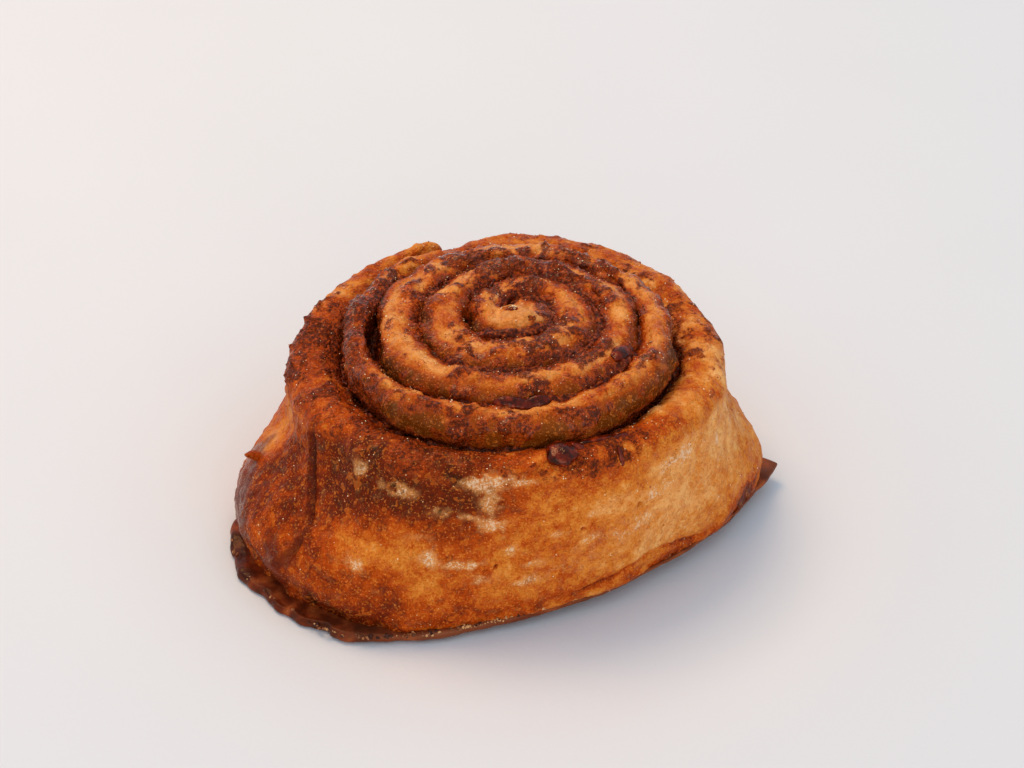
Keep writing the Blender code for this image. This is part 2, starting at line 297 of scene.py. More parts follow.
def smooth_through(places, knots, period=None):
    """Values at places of the smooth curve through knots, pairs of place and value, closed over a period."""
    knots = np.array(knots, float)
    if period:
        knots = np.concatenate([knots - (period, 0), knots, knots + (period, 0)])
        places = np.mod(places, period)
    x, y = knots.T
    slope = np.gradient(y, x)
    i = np.clip(np.searchsorted(x, places) - 1, 0, len(x) - 2)
    step = x[i + 1] - x[i]
    t = np.clip((places - x[i]) / step, 0, 1)
    return (
        y[i] * (1 + 2 * t) * (1 - t) ** 2
        + slope[i] * step * t * (1 - t) ** 2
        + y[i + 1] * t**2 * (3 - 2 * t)
        + slope[i + 1] * step * t**2 * (t - 1)
    )


def ease(value, start, end):
    """0 before start, 1 after end, and a smooth step between them."""
    t = np.clip((value - start) / (end - start), 0, 1)
    return t * t * (3 - 2 * t)


def bell(value, middle, reach):
    """1 at the middle, falling off within about its reach on each side."""
    return np.exp(-(((value - middle) / reach) ** 2))


def strip_radius(winding):
    return smooth_through(winding, STRIP_RADII)


def seam_gap(winding):
    """The gap outside the outer face of a turn. It closes at the eye."""
    return SEAM_GAP * (1 - ease(winding, *EYE_CLOSING))


def inner_radius(winding):
    """The strip's inner face lies a seam's gap outside the outer face of the next turn, down to the eye."""
    return np.maximum(strip_radius(winding + TURN) + seam_gap(winding + TURN), EYE_RADIUS)


def crest_height(winding):
    """The dome's height over the strip's middle, falling as a power of its radius, and the crest's spots."""
    middle = (strip_radius(winding) + inner_radius(winding)) / 2
    dome = HEART_HEIGHT - RIM_DROP * (np.abs(middle) / RIM_RADIUS) ** DOME_POWER
    return dome + sum(height * bell(winding, angle, reach) for angle, reach, height in CREST_SPOTS)


def edge_radius(angle):
    return smooth_through(angle, EDGE_RADII, TURN)


def lift(radius, angle):
    """How far the underside has curled up: nothing inside the start radius, then straight up to the edge."""
    share = (radius - LIFT_START_RADIUS) / (edge_radius(angle) - LIFT_START_RADIUS)
    return np.maximum(smooth_through(angle, EDGE_LIFTS, TURN), 0) * np.maximum(share, 0)


def turned_from(angle, direction):
    """The shorter way round from a direction to an angle, in degrees."""
    return np.mod(angle - direction + TURN / 2, TURN) - TURN / 2


def flare(winding, height):
    """How far the wall's face stands out past the strip's radius: the skirt, the belly and the hollows."""
    angle = np.mod(winding, TURN)
    depth = np.clip(1 - height / SHOULDER_HEIGHT, 0, 1)
    starts, ends = smooth_through(angle, SKIRT_STARTS, TURN), smooth_through(angle, SKIRT_ENDS, TURN)
    foot = edge_radius(angle) - TAIL_STEP * ease(winding, TAIL_STEP_START, TAIL_ANGLE + TURN)
    outward = (foot - strip_radius(winding)) * ease(depth, starts, ends) + WALL_BULGE * np.sin(np.pi * depth)
    begins, full, fades, done = HOLLOW_SPAN
    hollow = HOLLOW_DEPTH * bell(angle, HOLLOW_ANGLE, HOLLOW_REACH)
    hollow = hollow * ease(depth, begins, full) * (1 - ease(depth, fades, done))
    for direction, reach, level, up, dip in FLANK_DIPS:
        hollow = hollow + dip * bell(turned_from(angle, direction), 0, reach) * bell(height, level, up)
    direction, reach, inset = FOOT_INSET
    hollow = hollow + inset * bell(angle, direction, reach) * (1 - ease(height, 2.0, 9.0))
    return (outward - hollow) * (1 - ease(winding, TAIL_ANGLE + TURN, UPRIGHT_FROM))


def face_radius(winding, height):
    """The strip's outer face at a height: the wall on the first turn, and the seam on every later one."""
    return strip_radius(winding) + flare(winding, height)


def inner_face_radius(winding, height):
    return np.maximum(face_radius(winding + TURN, height) + seam_gap(winding + TURN), EYE_RADIUS)


def underside(radius, winding):
    return DOUGH_UNDERSIDE + lift(radius, np.mod(winding, TURN))


def even_windings(start, end, step):
    """Winding angles at even distances along the strip's outer face."""
    fine = np.linspace(start, end, 20000)
    along = np.cumsum(np.maximum(strip_radius(fine), 4.0) * np.radians(fine[1] - fine[0]))
    places = np.linspace(along[0], along[-1], int((along[-1] - along[0]) / step) + 1)
    return np.interp(places, along, fine)


def strip_sections(winding, outer_shares):
    """Radius and height round each section, a row for a winding angle, and the share of the way across.

    The outer face goes up from the underside to the shoulder through the given shares of its height. The
    crest is half an ellipse, squared off by a power of the sine. The inner face goes down again to the
    underside.
    """
    winding = winding[:, None]
    outer, inner = strip_radius(winding), inner_radius(winding)
    crest = crest_height(winding)
    shoulder = crest - CREST_FALL
    inner_fall = CREST_FALL * ease(inner, EYE_RADIUS, HEART_DOME_RADIUS)

    foot = underside(face_radius(winding, DOUGH_UNDERSIDE), winding)
    outer_z = foot + (shoulder - foot) * np.array(outer_shares)
    outer_r = face_radius(winding, outer_z)

    turn = np.linspace(0, np.pi, CREST_POINTS + 2)[1:-1]
    middle, half_width = (outer + inner) / 2, (outer - inner) / 2
    fall = np.where(turn < np.pi / 2, CREST_FALL, inner_fall)
    belly = np.where(turn < np.pi / 2, face_radius(winding, shoulder) - outer, 0) * np.cos(turn)
    crest_r = middle + half_width * np.cos(turn) + belly
    inward = np.maximum(ease(turn, 0.8, 1.6), ease(winding, TAIL_ANGLE + TURN, WALL_END))
    squareness = WALL_SQUARENESS + (COIL_SQUARENESS - WALL_SQUARENESS) * inward
    crest_z = crest - fall * (1 - np.sin(turn) ** squareness)

    inner_foot = underside(inner_face_radius(winding, DOUGH_UNDERSIDE), winding)
    inner_z = inner_foot + (crest - inner_fall - inner_foot) * np.array(SEAM_SHARES[::-1])
    inner_r = inner_face_radius(winding, inner_z)

    radii = np.concatenate([outer_r, crest_r, inner_r], axis=1)
    heights = np.concatenate([outer_z, crest_z, inner_z], axis=1)
    across = np.concatenate([0 * outer_z, turn / np.pi + 0 * crest_z, 1 + 0 * inner_z], axis=1)
    return radii, heights, across


def about_heart(radii, heights, windings):
    """Points in millimetres about the heart, from a radius, a height and a winding angle each."""
    turned = np.radians(windings)
    return np.stack([radii * np.cos(turned), radii * np.sin(turned), heights + 0 * turned], axis=-1)


def outward_normals(points):
    """Unit normals of a skin of closed sections: the cross product of the steps along it and round it."""
    along = np.gradient(points, axis=0)
    round_it = np.roll(points, -1, axis=1) - np.roll(points, 1, axis=1)
    normal = np.cross(along, round_it)
    return normal / np.maximum(np.linalg.norm(normal, axis=-1, keepdims=True), 1e-9)


def scatter(cell, seed):
    """A number from 0 to 1 for each whole-number cell: its coordinates times large odd numbers, stirred."""
    x, y, z = np.moveaxis(cell.astype(np.int64).astype(np.uint32), -1, 0)
    stirred = x * np.uint32(374761393) + y * np.uint32(668265263) + z * np.uint32(2246822519)
    stirred = stirred + np.uint32(seed * 7919 + 101)
    stirred = (stirred ^ (stirred >> np.uint32(15))) * np.uint32(2246822519)
    stirred = (stirred ^ (stirred >> np.uint32(13))) * np.uint32(3266489917)
    return (stirred ^ (stirred >> np.uint32(16))) / 2.0**32


def waves(points, size, seed):
    """Soft noise from -1 to 1: random values on a lattice of this size, blended smoothly across each cell."""
    place = points / size + 11.3 * seed
    cell = np.floor(place)
    t = place - cell
    t = t**3 * (t * (t * 6 - 15) + 10)
    total = 0
    for corner in np.ndindex(2, 2, 2):
        share = np.prod(np.where(corner, t, 1 - t), axis=-1)
        total = total + share * scatter(cell + corner, seed)
    return 2 * total - 1


def grain(points, size, seed, octaves=3):
    """Waves on waves, each half the size and just over half the strength of the one before."""
    return sum(waves(points, size / 2**i, seed + i) * 0.55**i for i in range(octaves))


def domes(points, spacing, seed, share, radius):
    """Round swellings from 0 to 1, of up to this radius, on a share of random spots, one spot to a cell."""
    home = np.floor(points / spacing)
    swelling = np.zeros(points.shape[:-1])
    for neighbour in np.ndindex(3, 3, 3):
        cell = home + neighbour - 1
        spot = cell + np.stack([scatter(cell, seed + i) for i in range(3)], axis=-1)
        number = scatter(cell, seed + 3) / share
        distance = np.linalg.norm(spot * spacing - points, axis=-1) / (radius * (0.5 + 0.5 * number))
        swelling = np.maximum(swelling, np.where(number < 1, np.sqrt(np.maximum(1 - distance**2, 0)), 0))
    return swelling


def skin_mesh(name, points, masks, finish, capped=True):
    """A closed skin from a grid whose rows are its sections, with masks: capped, or joined in a ring."""
    rows, columns = points.shape[:2]
    index = np.arange(rows * columns).reshape(rows, columns)
    caps = [index[0].tolist(), index[-1][::-1].tolist()] if capped else []
    index = index if capped else np.concatenate([index, index[:1]])
    beside = np.roll(index, -1, axis=1)
    quads = np.stack([index[:-1], index[1:], beside[1:], beside[:-1]], axis=-1).reshape(-1, 4)
    faces = quads.tolist() + caps
    placed = (points.reshape(-1, 3) + (HEART_X, HEART_Y, 0)) * MM
    mesh = bpy.data.meshes.new(name)
    mesh.from_pydata(placed.tolist(), [], faces)
    for mask, values in masks.items():
        layer = mesh.attributes.new(mask, "FLOAT", "POINT")
        layer.data.foreach_set("value", np.broadcast_to(values, (rows, columns)).ravel().astype(np.float32))
    mesh.materials.append(finish)
    mesh.shade_smooth()
    mesh.set_sharp_from_angle(angle=np.radians(80))
    piece = bpy.data.objects.new(name, mesh)
    bpy.context.scene.collection.objects.link(piece)
    return piece


# How brown the wall has baked, from 0, pale gold, to 1, nearly black: by direction, and in patches, each
# with its direction, its height, its reach along and up the wall in millimetres, and what it adds.
WALL_BROWNING = [
    (0, 0.3), (40, 0.42), (90, 0.48), (140, 0.48), (185, 0.52), (200, 0.56), (215, 0.58), (235, 0.55),
    (252, 0.48), (272, 0.4), (295, 0.3), (315, 0.23), (340, 0.22),
]
BROWN_PATCHES = [
    (240, 31, 17, 6, 0.42), (222, 26, 9, 5, 0.18), (205, 22, 9, 4, 0.16), (263, 31, 8, 6, 0.2),
    (197, 10, 9, 8, 0.08), (216, 6, 10, 6, 0.08), (236, 4, 8, 4, 0.16), (300, 34, 11, 4, 0.14),
    (350, 7, 7, 4, 0.4), (322, 5, 16, 2.6, 0.34), (298, 7, 14, 2, 0.14), (335, 24, 14, 9, -0.08),
    (190, 28, 6, 6, -0.12), (190, 20, 5, 4, -0.2), (243, 20, 6, 5, -0.06), (255, 10, 7, 5, 0.08),
    (275, 5, 10, 2, 0.1), (230, 18, 7, 3, -0.1), (245, 12, 8, 3, -0.08),
]
RIM_BROWNING = [
    (112, 0.4), (150, 0.4), (172, 0.52), (195, 0.5), (215, 0.62), (235, 0.72), (255, 0.7), (268, 0.52),
    (280, 0.48), (292, 0.6), (308, 0.45), (325, 0.3), (350, 0.28), (400, 0.4), (440, 0.42), (470, 0.38),
    (500, 0.36),
]
# Pale floury patches, where a blister has burst: direction, height, and reach along and up the wall.
FLOUR_PATCHES = [
    (268, 34.6, 7.5, 1.2), (261.5, 36.0, 2.5, 2.0), (262.5, 33.6, 3.0, 1.8), (240.2, 30.2, 3.4, 1.1),
    (228.3, 31.6, 1.6, 1.8, 0.7), (251.4, 27.6, 2.4, 1.2, 0.4), (265.4, 25.1, 2.8, 1.3),
    (234.1, 15.9, 1.8, 1.4, 0.8), (250, 18.7, 1.6, 1.7, 0.8), (258.3, 17.2, 3.8, 0.8),
    (270.5, 19.3, 1.8, 1.1, 0.8), (273.6, 12, 2.4, 1.0), (261.7, 13.9, 3.0, 1.2, 0.5),
    (264.5, 30.5, 2.2, 2.6, 0.55), (258.6, 27.0, 2.2, 0.8, 0.4), (276, 16, 3, 0.8, 0.4),
    (246, 22.5, 2.4, 0.8, 0.35), (281, 22, 3.5, 0.9, 0.35), (300, 27, 3.0, 0.8, 0.4),
    (268, 22.5, 2.0, 0.6, 0.5), (320, 28, 9, 5, 0.3), (302, 18, 11, 4, 0.25), (284, 13, 8, 3, 0.2),
    (322.8, 30.8, 1.6, 2.4, 0.9), (315.3, 29.5, 2.4, 1.4, 0.9), (311, 24.9, 3.6, 1.5, 0.8),
    (292.9, 25.3, 2.2, 1.3, 0.65), (289.6, 19, 2.8, 1.2, 0.6), (336.9, 26.4, 1.0, 2.2, 0.8),
    (306.3, 19.6, 4, 1.6, 0.6),
]
# Small holes burst in the crust: direction, height and radius.
WALL_PITS = [
    (228.3, 31.8, 0.9), (238.6, 30.8, 0.5), (241.5, 30.0, 0.4), (261.2, 36.6, 0.9), (264.5, 33.0, 0.7),
    (251.5, 27.6, 0.4), (274.6, 11.8, 0.8), (266, 16.5, 0.4), (306, 23.6, 0.5), (289, 22.0, 0.5),
]
# The crease down the left of the wall, from the foot up, as height and direction, and the fold along the
# lower front, as direction and height, with where it starts and ends.
CREASE_PATH = [
    (17, 220.2), (19.3, 218.4), (20.9, 216.9), (23.4, 214.1), (26.3, 211.2), (31.2, 210.2), (35, 210),
]
WEB_PATH = [(9.7, 216.1), (12.5, 218), (15, 219.3), (17.2, 220.4)]
WEB_BACK_PATH = [(10, 220.3), (12, 221.1), (14.3, 221.4), (17.2, 220.4)]
TUCK_PATH = [(2, 226), (5, 225.5), (9, 227)]
FOLD_PATH = [(284, 5.6), (298, 7.2), (312, 9.2), (320, 8.2), (328, 6.6), (336, 6.0)]
CREASE_SPAN = (16, 19, 30, 35)
CREASE_LIP_STARTS = (16, 20)
CREASE_LIP = (-0.9, 0.5, 0.7)
WEB_SPAN = (8.5, 10, 17, 18)
WEB_EDGE_WIDTH = 0.45
WEB_EDGE_HEIGHT = 0.9
WEB_SINK = 0.4
FOLD_SPAN = (284, 292, 328, 336)
LINE_WIDTH = 0.6
CREASE_DEPTH = 1.0
FOLD_DEPTH = 0.45
PIT_DEPTH = 0.8
# The dough's swells: their size, their height on the wall, what the coil adds to it, a seed, and how many
# finer swells ride on them.
SWELLS = [(8.0, 0.42, 0.2, 11, 2), (2.9, 0.22, 0.16, 15, 2), (1.1, 0.08, 0.12, 19, 2)]
# Blisters and dimples in the dough, and lumps in the paste: spacing, seed, share, radius and height.
DOUGH_SPOTS = [(2.6, 23, 0.35, 1.2, 0.26), (5.0, 29, 0.1, 0.7, -0.5)]
PASTE_SPOTS = [(1.2, 33, 0.6, 0.65, 0.45), (2.4, 35, 0.4, 1.2, 0.4)]
PASTE_THICKNESS = 0.1
# The dough of the coil is drawn out in strands: their length, how many lie across the crest, and their
# height.
STRAND_LENGTH = 8
STRANDS_ACROSS = 3.6
STRAND_HEIGHT = 0.42
SEAM_SWELL = 0.82
SEAM_WAVES = (6.0, 0.4)
SEAM_OPENING = 1.3
# The foot on the left is lumpy where the dough sank into the caramel: direction and reach, and the height
# over which the lumps fade.
LUMPY_FOOT = (222, 40)
LUMPY_HEIGHTS = (4, 11)
# Syrup has run down the low left of the wall, and a little at its right end.
SYRUP_PATCHES = [(196, 8, 8, 6), (216, 7, 3, 7), (190, 15, 5, 5), (348, 6, 5, 3, 0.7)]
BAKE_LIMIT = 0.78
COIL_BAKE = 0.31
# How much darker the dough is painted where it goes down into the seams: painted shade, with the browner
# edges of the crest.
SEAM_BAKE_AND_SHADE = 1.05
# Where cinnamon has smeared over the crest, along the winding angle, from 0, clean, to 1, covered.
PASTE_ALONG = [
    (112, 0.0), (140, 0.02), (155, 0.4), (170, 0.8), (182, 0.65), (200, 0.45), (235, 0.5), (262, 0.3),
    (278, 0.25), (288, 0.6), (302, 0.55), (318, 0.2), (345, 0.1), (362, 0.4), (380, 0.4), (400, 0.3),
    (440, 0.3), (466, 0.3), (480, 0.1), (500, 0.5), (515, 0.75), (535, 0.8), (552, 0.65), (568, 0.35),
    (600, 0.4), (640, 0.4), (660, 0.3), (690, 0.3), (712, 0.1), (735, 0.4), (760, 0.5), (800, 0.55),
    (850, 0.5), (880, 0.3), (905, 0.2), (925, 0.15), (950, 0.3), (985, 0.5), (1020, 0.55), (1045, 0.7),
    (1062, 0.25), (1085, 0.3), (1110, 0.5), (1160, 0.6), (1210, 0.5), (1240, 0.25), (1262, 0.2),
    (1290, 0.42), (1320, 0.5), (1350, 0.4), (1395, 0.8), (1430, 0.6), (1462, 0.15), (1485, 0.2),
    (1510, 0.6), (1545, 0.75), (1580, 0.45), (1610, 0.25), (1660, 0.3), (1710, 0.2), (1740, 0.5),
    (1790, 0.6), (1830, 0.4), (1900, 0.5), (1952, 0.5),
]

# The coil is darkest where it dives under the rim on the left: winding angle, reach and how much browner.
COIL_SCORCHED = (538.0, 34.0, 0.34)
# Where the turns part and the seam is an open hole, or are pressed tight together: the winding angle of the
# seam's inner side, the reach and how open.
SEAM_HOLLOWS = [
    (905, 12, 1.6), (716, 9, 1.2), (1622, 10, 0.8), (768, 6, 1.0), (632, 48, -0.45), (1000, 45, -0.3),
    (1480, 90, -0.4), (1800, 120, -0.6),
]


def along_wall(winding, angle):
    """Signed distance in millimetres along the wall from a direction."""
    return turned_from(winding, angle) * np.radians(44.0)


def patches(winding, height, places):
    """The sum of soft oval patches on the wall."""
    total = 0
    for angle, level, along, up, *amount in places:
        away = along_wall(winding, angle)
        total = total + (amount or [1.0])[0] * np.exp(-((away / along) ** 2) - ((height - level) / up) ** 2)
    return total


def between(value, start, full, fades, done):
    """0 up to start, 1 from full to where it fades, and 0 again once it is done."""
    return ease(value, start, full) * (1 - ease(value, fades, done))


def swellings(points, kinds):
    """The sum of round swellings of several kinds."""
    return sum(height * domes(points, *kind) for *kind, height in kinds)


def dress_dough(radii, heights, across, winding):
    """A length of dough with its relief, and the masks of its browning, with painted shade in its hollows and
    seams, of its paste, flour and syrup, and of its oiled faces, with painted shade on the outer faces at the
    front.

    The relief moves each point along its normal. Swells, strands, blisters and paste are added up, and the
    creases, the fold and the pits are taken away.
    """
    points = about_heart(radii, heights, winding)
    on_wall = 1 - ease(winding, 466, 476)
    on_face = (1 - ease(across, 0.04, 0.4)) * on_wall
    crest = crest_height(winding)
    below = crest - heights
    shown = np.maximum(ease(-below, *(-limit for limit in HIDDEN_BELOW)), on_face)
    wound = ease(winding, 450, 520)

    # Paste gathers at both edges of the crest, and covers the faces in the seams.
    seam_edge = ease(across, 0.62, 0.95) * 0.26 + (1 - ease(across, 0.05, 0.4)) * 0.12 * wound
    rough = 0.2 * grain(points, 5.0, 3, 3) + 0.36 * grain(points, 1.7, 7, 3)
    turned = np.gradient(np.radians(winding), axis=0)
    along = np.cumsum(turned * np.maximum(strip_radius(winding), 4.0), axis=0)
    strand_places = np.broadcast_arrays(along / STRAND_LENGTH, across * STRANDS_ACROSS, 0 * across)
    strands = grain(np.stack(strand_places, axis=-1), 1.0, 63, 2) * wound
    smear = smooth_through(winding, PASTE_ALONG) + seam_edge + rough + 0.26 * strands - 0.04 * wound
    # Outer faces at the front, which face away from the window, are painted a darker olive-amber: the moist
    # dough's colour with painted shade.
    front = bell(np.mod(winding, TURN), 275, 75)
    oil = front * wound * (1 - ease(across, 0.15, 0.5))
    deep = 2.8 + 3.2 * oil
    smear = smear * (1 - 0.9 * on_face * ease(below, 1.5, 6.0))
    smear = smear + 0.7 * ease(below, deep, deep + 2.5) * (1 - on_face)
    paste = ease(smear, 0.1, 0.9)
    thick = ease(paste, 0.5, 0.8)

    crease_away = along_wall(winding, smooth_through(heights, CREASE_PATH))
    crease = bell(crease_away, 0, LINE_WIDTH) * between(heights, *CREASE_SPAN) * on_face
    lip_place, lip_width, lip_height = CREASE_LIP
    crease_lip = bell(crease_away, lip_place, lip_width) * on_face
    crease_lip = crease_lip * between(heights, *CREASE_LIP_STARTS, *CREASE_SPAN[2:])
    tuck = bell(along_wall(winding, smooth_through(heights, TUCK_PATH)), 0, 0.9)
    tuck = tuck * (1 - ease(heights, 5, 9)) * on_face
    web_away = along_wall(winding, smooth_through(heights, WEB_PATH))
    web_back = along_wall(winding, smooth_through(heights, WEB_BACK_PATH))
    web_span = between(heights, *WEB_SPAN) * on_face
    web_edge = (bell(web_away, 0, WEB_EDGE_WIDTH) + 0.7 * bell(web_back, 0, WEB_EDGE_WIDTH)) * web_span
    web = ease(web_away, -0.2, 0.3) * (1 - ease(web_back, -0.3, 0.2)) * web_span
    fold = bell(heights, smooth_through(winding, FOLD_PATH), LINE_WIDTH) * on_face
    fold = fold * between(winding, *FOLD_SPAN)
    pits = sum(
        np.sqrt(np.maximum(1 - (along_wall(winding, angle) ** 2 + (heights - level) ** 2) / radius**2, 0))
        for angle, level, radius in WALL_PITS
    )
    pits = pits * on_face

    relief = sum(
        (height + more * wound) * grain(points, size, seed, octaves)
        for size, height, more, seed, octaves in SWELLS
    )
    relief = relief + STRAND_HEIGHT * strands * np.sin(np.pi * across) + swellings(points, DOUGH_SPOTS)
    relief = relief + thick * (PASTE_THICKNESS + swellings(points, PASTE_SPOTS))
    # The turns have swelled against each other, so that a seam is now a gap, now only a line.
    at_seam = np.maximum(ease(across, 0.7, 1.0), (1 - ease(across, 0.0, 0.3)) * wound)
    seam = winding + TURN * (across > 0.5)
    hollow = sum(open_by * bell(seam, place, reach) for place, reach, open_by in SEAM_HOLLOWS)
    wave_size, wave_height = SEAM_WAVES
    seam_relief = SEAM_SWELL + wave_height * waves(points, wave_size, 37) - SEAM_OPENING * hollow
    relief = relief + at_seam * seam_relief
    relief = relief - CREASE_DEPTH * (crease + tuck) - FOLD_DEPTH * fold - PIT_DEPTH * pits
    relief = relief + lip_height * crease_lip + WEB_EDGE_HEIGHT * web_edge - WEB_SINK * web
    foot_left = bell(np.mod(winding, TURN), *LUMPY_FOOT)
    foot_waves = 0.9 * waves(points, 6.0, 39) + 0.7 * waves(points, 2.8, 40)
    lumpy = 0.3 * waves(points, 8.0, 39) + foot_left * foot_waves
    relief = relief + lumpy * on_face * (1 - ease(heights, *LUMPY_HEIGHTS))
    points = points + outward_normals(points) * (relief * shown)[..., None]

    wall_bake_and_shade = smooth_through(winding, WALL_BROWNING, TURN) + patches(winding, heights, BROWN_PATCHES)
    wall_bake_and_shade = wall_bake_and_shade + 0.11 * grain(points, 7.0, 41, 3) + 0.09 * grain(points, 1.8, 45, 2)
    # The crease, the tuck, the fold and the pits are painted browner: painted shade in these hollows.
    wall_bake_and_shade = np.minimum(wall_bake_and_shade, BAKE_LIMIT) + 0.25 * (crease + tuck) + 0.2 * fold + 0.4 * pits
    mottle = grain(points, 3.5, 47, 3)
    rim_bake = smooth_through(winding, RIM_BROWNING) + 0.22 * mottle
    scorched, reach, amount = COIL_SCORCHED
    # The dough is painted much darker where it goes down into the seams: painted shade, with the browner
    # edges of the crest.
    coil_bake_and_shade = COIL_BAKE + 0.18 * mottle + SEAM_BAKE_AND_SHADE * (1 - np.sin(np.pi * across)) ** 1.3
    coil_bake_and_shade = coil_bake_and_shade + 0.14 * strands + amount * bell(winding, scorched, reach)
    bake = wall_bake_and_shade + (rim_bake - wall_bake_and_shade) * (1 - ease(below, 1.0, 6.0))
    bake = bake * on_face + (rim_bake + (coil_bake_and_shade - rim_bake) * wound) * (1 - on_face)
    flour = patches(winding, heights, FLOUR_PATCHES) * on_face * (0.8 + 0.6 * grain(points, 1.8, 51, 3))
    run = patches(winding, heights, SYRUP_PATCHES) + 0.35 * grain(points, 3.0, 55, 3)
    syrups = [ease(run, 0.35, 0.9) * on_face, crease, 0.7 * crease_lip, web, 0.5 * web_edge]
    syrup = np.maximum.reduce(syrups)
    masks = {"bake": bake, "paste": paste, "flour": flour, "syrup": syrup, "oil": oil}
    return points, {name: np.clip(values, 0, 1) for name, values in masks.items()}


# The dough's colours as they show on a screen: along its browning, with painted shade, from pale gold to
# nearly black, along the paste, and of what lies on it or has soaked in. The oiled colour is partly painted
# shade on the outer faces at the front.
BAKE_COLOURS = [
    (0.05, (246, 182, 112)), (0.28, (226, 138, 50)), (0.48, (194, 82, 2)), (0.68, (132, 42, 0)),
    (0.86, (88, 26, 0)), (1.0, (46, 12, 0)),
]
SMEAR_COLOURS = [(0.38, (50, 9, 0)), (0.52, (112, 32, 4)), (0.66, (196, 88, 24))]
SOFT_DOUGH = (232, 156, 88)
OILED_AND_SHADED = (170, 88, 10)
BLISTER = (224, 122, 34)
SPECK = (250, 158, 76)
SYRUP = (104, 26, 5)
BURST = (238, 166, 94)
FLOUR = (244, 204, 166)
STAINED = (190, 80, 14)
GRIT = (92, 24, 2)
DOUGH_SPECULAR = 0.3
DOUGH_SPECULAR_TINT = (1.0, 0.68, 0.42, 1.0)
GLAZE_ROUGHNESS = 0.08
GLAZE_IOR = 1.33
GLAZE_TINT = (1.0, 0.92, 0.84, 1.0)


def dough_finish(name, dryness=0.58, glaze=0.25, paleness=0.0):
    """Baked dough: its browning and painted shade with blisters, sugar and flour, paste over it, and gloss
    where it is moist.
    """
    finish = Finish(
        name, Specular_IOR_Level=DOUGH_SPECULAR, Specular_Tint=DOUGH_SPECULAR_TINT,
        Coat_Roughness=GLAZE_ROUGHNESS, Coat_IOR=GLAZE_IOR, Coat_Tint=GLAZE_TINT,
    )
    fine = finish.noise(0.5, 3.0)
    patchy = finish.noise(1.8, 4.0)
    bake = finish.mask("bake") + (patchy - 0.5) * 0.38 + (fine - 0.5) * 0.4
    colour = finish.ramp(bake, BAKE_COLOURS)
    colour = finish.mix(bake.rise(0.55, 0.2) * paleness, colour, screen(*SOFT_DOUGH))
    # The outer faces at the front are mixed towards the oiled colour: moist amber with painted shade.
    colour = finish.mix(finish.mask("oil") * 0.6, colour, screen(*OILED_AND_SHADED))
    small_blister = finish.noise(1.1, 2.0).rise(0.57, 0.66) * 0.8
    blister = (small_blister + finish.noise(2.1, 1.0).rise(0.64, 0.68)).rise(0.0, 1.0)
    speck = finish.noise(0.42, 1.0).rise(0.6, 0.7)
    colour = finish.mix(blister * 0.42, colour, screen(*BLISTER))
    colour = finish.mix(speck * 0.46, colour, screen(*SPECK))
    syrup = finish.mask("syrup")
    colour = finish.mix(syrup * 0.66, colour, screen(*SYRUP))
    crackle = finish.noise(0.7, 5.0).rise(0.42, 0.6)
    burst = finish.mask("flour") + (patchy - 0.5) * 0.8
    colour = finish.mix(burst.rise(0.02, 0.5) * 0.62, colour, screen(*BURST))
    dust = burst.rise(0.0, 0.5) * finish.noise(0.35, 1.0).rise(0.56, 0.66)
    flour = burst.rise(0.25, 0.85) * (crackle * 0.85 + 0.15)
    colour = finish.mix((flour + dust * 0.6).rise(0.0, 1.0) * 0.85, colour, screen(*FLOUR))

    # Syrup stains the dough round the paste, and the paste itself is gritty.
    field = finish.mask("paste") + (patchy - 0.5) * 0.5
    stain = field.rise(0.12, 0.68)
    paste = (field + (fine - 0.5) * 1.1).rise(0.5, 0.95)
    grit = finish.noise(0.55, 2.0).rise(0.56, 0.64) * field.rise(0.05, 0.5)
    colour = finish.mix(stain * 0.72, colour, screen(*STAINED))
    colour = finish.mix(paste * 0.82, colour, finish.ramp(finish.noise(0.7, 3.0), SMEAR_COLOURS))
    colour = finish.mix(grit * 0.5, colour, screen(*GRIT))
    moist = patchy.rise(0.46, 0.6)
    roughness = dryness - 0.26 * syrup - 0.14 * stain - 0.24 * moist + (fine - 0.5) * 0.2
    height = fine + blister * 0.5 + paste * finish.noise(0.6, 3.0) * 1.5
    wet = syrup * 0.25 + (stain * 0.5 + patchy.rise(0.42, 0.6) * 0.5) * glaze
    finish.coat(colour, roughness, height, 0.8, 0.4, Coat_Weight=wet.rise(0.0, 1.0))
    return finish.material


wall_windings = even_windings(TAIL_ANGLE, WALL_END, WALL_STEP)[:, None]
wall_radii, wall_heights, wall_across = strip_sections(wall_windings[:, 0], np.linspace(0, 1, WALL_LEVELS))
# The tail's end is rounded off: it narrows and droops over its last few degrees.
tail = np.sqrt(1 - (1 - np.clip((wall_windings - TAIL_ANGLE) / TAIL_ROUNDING, 0.02, 1)) ** 2)
tail_middle = (face_radius(wall_windings, wall_heights) + inner_face_radius(wall_windings, wall_heights)) / 2
wall_radii = tail_middle + (wall_radii - tail_middle) * tail
wall_heights = wall_heights - (1 - tail) * TAIL_DROOP * ease(wall_heights, 20, 40)
wall_points, wall_masks = dress_dough(wall_radii, wall_heights, wall_across, wall_windings)
dough_wall = skin_mesh("dough_wall", wall_points, wall_masks, dough_finish("wall_crust"))
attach(dough_wall, "root")
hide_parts("dough")

# The coil. The strip's inner turns are softer dough that shows only its crests, mottled with cinnamon, and
# runs on from the wall inside the tail to the eye.
COIL_STEP = 0.42
COIL_SHARES = [
    0.0, 0.3, 0.6, 0.78, 0.82, 0.85, 0.87, 0.885, 0.9, 0.915, 0.93, 0.94, 0.95, 0.96, 0.97, 0.98, 0.99, 1.0,
]
COIL_END = 1952.0
COIL_MOISTURE = (0.42, 0.7)
COIL_PALENESS = 0.35

